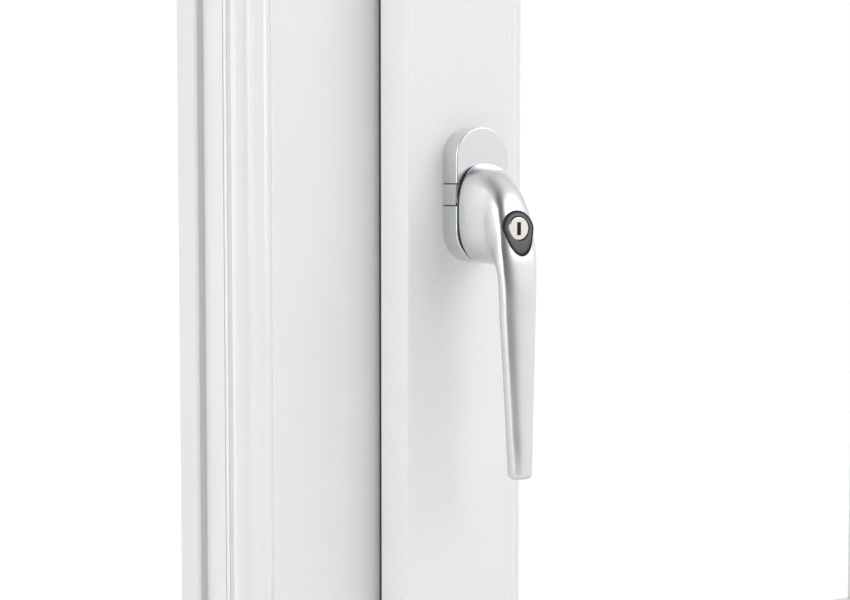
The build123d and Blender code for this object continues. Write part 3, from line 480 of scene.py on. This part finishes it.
def surround_mesh(name, levels):
    """A mesh through teardrops, one per (radius, point drop, lift)."""
    rings = [[on_lock_plane(x, z, lift) for x, z in teardrop(radius, drop)] for radius, drop, lift in levels]
    return skin(name, rings)


def cut_away(mesh_data, tool_data):
    """A copy of a mesh with the space of another one taken out of it."""
    cutter = bpy.data.objects.new("pocket", tool_data)
    blank = bpy.data.objects.new("lever_blank", mesh_data)
    for helper in (cutter, blank):
        bpy.context.scene.collection.objects.link(helper)
    cut = blank.modifiers.new("cut", "BOOLEAN")
    cut.object = cutter
    cut.operation = "DIFFERENCE"
    cut.solver = "EXACT"
    bpy.context.view_layer.update()
    evaluated = blank.evaluated_get(bpy.context.evaluated_depsgraph_get())
    result = bpy.data.meshes.new_from_object(evaluated)
    for helper in (blank, cutter):
        bpy.data.objects.remove(helper)
    result.materials.clear()
    return result


lever_data = cut_away(lever_mesh, surround_mesh("pocket", POCKET))
lever = keep_mesh("lever_body", lever_data, "handle", FINISHES["satin_silver"], 28)
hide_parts("lever")

# Painted shade: a dark sleeve lining the pocket round the lock surround.
keep_mesh("lock_gap_shade", surround_mesh("lock_gap_shade", GAP_SHADE_SECTION), "handle", PAINTED_GAP_SHADE)
surround = keep_mesh("lock_surround", surround_mesh("lock_surround", SURROUND_SECTION), "handle",
                     SURROUND)
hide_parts("lock_housing")

diagonals = [pi / 4, 3 * pi / 4, 5 * pi / 4, 7 * pi / 4]
shade_loops = [[out(SHADE_REACH_X * cos(angle), distance, SHADE_REACH_Z * sin(angle) - LOCK_DROP)
                for angle in diagonals] for distance in (SHADE_BACK, SHADE_FRONT)]
keep_mesh("key_slot_shade", skin("key_slot_shade", shade_loops), "key_plug", PAINTED_GAP_SHADE)

# ---- Stage, in metres ----
FLOOR_HALF_WIDTH, FLOOR_FRONT, FLOOR_BACK = 1.9, -2.2, 0.34
FLOOR_GAP = 0.0005
FLOOR_COLOUR = (0.84, 0.84, 0.84)

floor_corners = [(-FLOOR_HALF_WIDTH, FLOOR_FRONT, 0), (FLOOR_HALF_WIDTH, FLOOR_FRONT, 0),
                 (FLOOR_HALF_WIDTH, FLOOR_BACK, 0), (-FLOOR_HALF_WIDTH, FLOOR_BACK, 0)]
floor_data = bpy.data.meshes.new("floor")
floor_data.from_pydata(floor_corners, [], [(0, 1, 2, 3)])
floor = bpy.data.objects.new("floor", floor_data)
floor.location.z = window_low.z - FLOOR_GAP
bpy.context.scene.collection.objects.link(floor)
floor.data.materials.append(finish_of("floor_paint", FLOOR_COLOUR, 0.01, (0.6, 0.7), cloud=1.5, grain=60))

# ---- World: white outside and to the right, darker to the left and towards the room ----
SKY_STRENGTH = 1.06

world = bpy.data.worlds.new("studio")
bpy.context.scene.world = world
world.use_nodes = True
sky = Nodes(world.node_tree)
direction = sky.add("ShaderNodeTexCoord").outputs["Generated"]
parts = sky.add("ShaderNodeSeparateXYZ")
sky.link(direction, parts.inputs[0])
side = sky.spread(parts.outputs["X"], low=0.10, high=1.0, start=-0.25, end=0.70)
behind = sky.spread(parts.outputs["Y"], low=0.0, high=1.0, start=-0.35, end=0.45)
tone = sky.math("ADD", side, sky.math("MULTIPLY", behind, sky.math("SUBTRACT", 1.0, side)))
background = world.node_tree.nodes["Background"]
shades = sky.add("ShaderNodeCombineColor")
for channel in range(3):
    sky.link(tone, shades.inputs[channel])
sky.link(shades.outputs[0], background.inputs["Color"])
background.inputs["Strength"].default_value = SKY_STRENGTH

# ---- Lights, in metres and watts ----
def soft_light(name, place, aim, size, power):
    """A rectangular lamp at a place, turned towards a point."""
    lamp = bpy.data.lights.new(name, "AREA")
    lamp.shape = "RECTANGLE"
    lamp.size, lamp.size_y = size
    lamp.energy = power
    light = bpy.data.objects.new(name, lamp)
    light.location = place
    light.rotation_euler = (Vector(aim) - Vector(place)).to_track_quat("-Z", "Y").to_euler()
    bpy.context.scene.collection.objects.link(light)


handle_middle = out(0, 20, -40)
soft_light("key", place=(1.1, -2.1, 1.9), aim=handle_middle, size=(2.0, 1.8), power=30)
soft_light("fill", place=(-1.7, -0.5, 0.9), aim=handle_middle, size=(0.8, 1.2), power=14)

# ---- Camera ----
LENS, SENSOR_WIDTH, NEAR_CLIP = 72.0, 36.0, 0.01
CAMERA_X, CAMERA_FROM_FACE, CAMERA_HEIGHT = -0.46508, 0.71541, 0.38226
CAMERA_DIRECTION = (0.51008, 0.85771, -0.06453)

camera_data = bpy.data.cameras.new("camera")
camera_data.lens = LENS
camera_data.sensor_width = SENSOR_WIDTH
camera_data.sensor_fit = "HORIZONTAL"
camera_data.clip_start = NEAR_CLIP
camera = bpy.data.objects.new("camera", camera_data)
camera.location = (CAMERA_X, FACE_Y - CAMERA_FROM_FACE, CAMERA_HEIGHT)
camera.rotation_euler = Vector(CAMERA_DIRECTION).to_track_quat("-Z", "Y").to_euler()
bpy.context.scene.collection.objects.link(camera)
bpy.context.scene.camera = camera
bpy.context.scene.view_settings.view_transform = "Standard"

bpy.context.view_layer.update()
